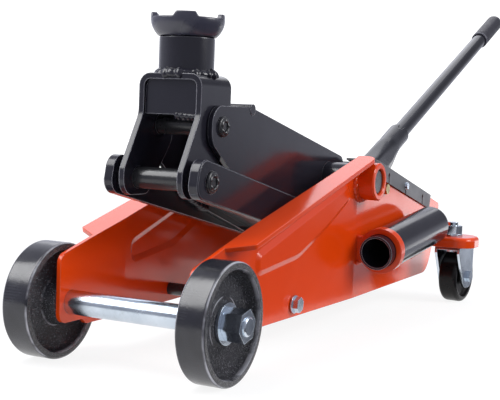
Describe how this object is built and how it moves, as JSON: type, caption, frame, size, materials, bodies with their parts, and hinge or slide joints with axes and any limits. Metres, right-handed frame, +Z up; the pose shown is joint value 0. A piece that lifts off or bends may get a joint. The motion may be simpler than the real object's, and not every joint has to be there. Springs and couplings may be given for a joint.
{
  "type": "car jack",
  "caption": "Hydraulic trolley jack with folded side plates, a lifting arm on parallel links, a turning saddle cup, iron front wheels, rear casters and a pump handle.",
  "frame": {"origin": "on the floor, at the middle of the whole jack's outline", "axes": "+Z up, +Y along the jack towards the handle, +X towards the side that carries the stored saddle extension"},
  "size_m": [0.2932, 1.1501, 0.3989],
  "materials": {
    "frame_paint": "gloss orange-red enamel",
    "arm_paint": "gloss black enamel",
    "cover_paint": "satin dark grey enamel",
    "wheel_iron": "gloss black over cast iron",
    "zinc_steel": "bright zinc plate",
    "dark_steel": "oiled dark steel",
    "bare_steel": "turned steel",
    "yellow_zinc": "yellow zinc plate",
    "caster_tyre": "satin black rubber",
    "handle_paint": "satin dark grey enamel",
    "grip_rubber": "knurled matt black",
    "unit_iron": "dark grey casting"
  },
  "bodies": {
    "frame": {"side_plate_right": "frame_paint", "side_plate_left": "frame_paint", "pivot_bosses": "frame_paint", "main_pivot_shaft": "dark_steel", "front_axle": "zinc_steel", "axle_washers": "zinc_steel", "axle_nuts": "zinc_steel", "tie_rod": "dark_steel", "tie_bolts": "zinc_steel", "link_pivot_pins": "dark_steel", "plate_bolts": "yellow_zinc", "extension_holder": "frame_paint", "rear_cover": "cover_paint", "cover_screws": "zinc_steel", "caster_bracket_right": "frame_paint", "caster_bracket_left": "frame_paint", "caster_stems": "zinc_steel", "pump_block": "unit_iron", "ram_cylinder": "unit_iron", "handle_pivot_pin": "dark_steel", "return_spring_right": "dark_steel", "return_spring_left": "dark_steel", "plunger_spring": "dark_steel"},
    "lift_arm": {"arm_plate_right": "arm_paint", "arm_plate_left": "arm_paint", "arm_top_sheet": "arm_paint", "arm_bottom_sheet": "arm_paint", "arm_cross_rod": "arm_paint", "arm_pivot_tube": "arm_paint", "ram_pin": "dark_steel", "upper_head_pin": "dark_steel"},
    "head": {"head_bracket": "arm_paint", "head_front_plate": "arm_paint", "head_post": "arm_paint", "lower_head_pin": "dark_steel"},
    "links": {"link_right": "arm_paint", "link_left": "arm_paint"},
    "saddle_body": {"saddle": "arm_paint"},
    "ram": {"ram_clevis": "bare_steel", "ram_piston_rod": "bare_steel"},
    "extension": {"saddle_extension": "arm_paint"},
    "plunger": {"pump_plunger": "bare_steel"},
    "handle_base": {"handle_socket": "handle_paint"},
    "handle_lever": {"handle_tube": "handle_paint", "handle_grip": "grip_rubber"},
    "valve": {"release_valve": "bare_steel"},
    "wheel_right": {"front_wheel_right": "wheel_iron"},
    "wheel_left": {"front_wheel_left": "wheel_iron"},
    "caster_right": {"caster_fork_right": "zinc_steel", "caster_axle_right": "zinc_steel"},
    "caster_left": {"caster_fork_left": "zinc_steel", "caster_axle_left": "zinc_steel"},
    "caster_roller_right": {"caster_wheel_right": "caster_tyre"},
    "caster_roller_left": {"caster_wheel_left": "caster_tyre"}
  },
  "joints": [
    {"name": "arm_lift", "type": "hinge", "parent": "frame", "child": "lift_arm", "pos_m": [0, -0.213, 0.15], "axis": [-1, 0, 0], "range_deg": [-25, 50]},
    {"name": "head_level", "type": "hinge", "parent": "lift_arm", "child": "head", "pos_m": [0, -0.449, 0.203], "axis": [-1, 0, 0], "range_deg": [-50, 25]},
    {"name": "link_swing", "type": "hinge", "parent": "frame", "child": "links", "pos_m": [0, -0.247, 0.104], "axis": [-1, 0, 0], "range_deg": [-25, 50]},
    {"name": "ram_stroke", "type": "slide", "parent": "frame", "child": "ram", "axis": [0, -1, 0], "range_m": [-0.0252, 0.0504], "deforming": ["return_spring_right", "return_spring_left"]},
    {"name": "saddle_swivel", "type": "hinge", "parent": "head", "child": "saddle_body", "pos_m": [0, -0.452, 0.279], "axis": [0, 0, 1], "continuous": true},
    {"name": "handle_pump", "type": "hinge", "parent": "frame", "child": "handle_base", "pos_m": [0, -0.027, 0.129], "axis": [1, 0, 0], "range_deg": [-6, 54]},
    {"name": "plunger_stroke", "type": "slide", "parent": "frame", "child": "plunger", "axis": [0, 0, 1], "range_m": [-0.0025, 0.0218], "deforming": ["plunger_spring"]},
    {"name": "handle_twist", "type": "hinge", "parent": "handle_base", "child": "handle_lever", "pos_m": [0, -0.03127, 0.13936], "axis": [0, 0.9245, 0.3811], "range_deg": [-180, 0]},
    {"name": "valve_turn", "type": "hinge", "parent": "frame", "child": "valve", "pos_m": [0, -0.045, 0.129], "axis": [0, 1, 0], "range_deg": [-180, 0]},
    {"name": "extension_draw", "type": "slide", "parent": "frame", "child": "extension", "axis": [0, 0.9962, 0.0872], "range_m": [0, 0.008]},
    {"name": "wheel_spin_right", "type": "hinge", "parent": "frame", "child": "wheel_right", "pos_m": [0.084, -0.525, 0.05], "axis": [1, 0, 0], "continuous": true},
    {"name": "wheel_spin_left", "type": "hinge", "parent": "frame", "child": "wheel_left", "pos_m": [-0.084, -0.525, 0.05], "axis": [1, 0, 0], "continuous": true},
    {"name": "caster_swivel_right", "type": "hinge", "parent": "frame", "child": "caster_right", "pos_m": [0.1186, -0.02, 0.066], "axis": [0, 0, 1], "range_deg": [-180, 45]},
    {"name": "caster_roll_right", "type": "hinge", "parent": "caster_right", "child": "caster_roller_right", "pos_m": [0.12017, -0.00207, 0.031], "axis": [0.9962, -0.0872, 0], "continuous": true},
    {"name": "caster_swivel_left", "type": "hinge", "parent": "frame", "child": "caster_left", "pos_m": [-0.1186, -0.02, 0.066], "axis": [0, 0, 1], "range_deg": [-45, 180]},
    {"name": "caster_roll_left", "type": "hinge", "parent": "caster_left", "child": "caster_roller_left", "pos_m": [-0.12017, -0.00207, 0.031], "axis": [0.9962, 0.0872, 0], "continuous": true}
  ],
  "couplings": [
    {"joint": "head_level", "follows": "arm_lift", "ratio": -1},
    {"joint": "link_swing", "follows": "arm_lift", "ratio": 1},
    {"joint": "ram_stroke", "follows": "arm_lift", "m_per_rad": 0.0576},
    {"joint": "plunger_stroke", "follows": "handle_pump", "m_per_rad": 0.0229},
    {"joint": "valve_turn", "follows": "handle_twist", "ratio": 1}
  ]
}
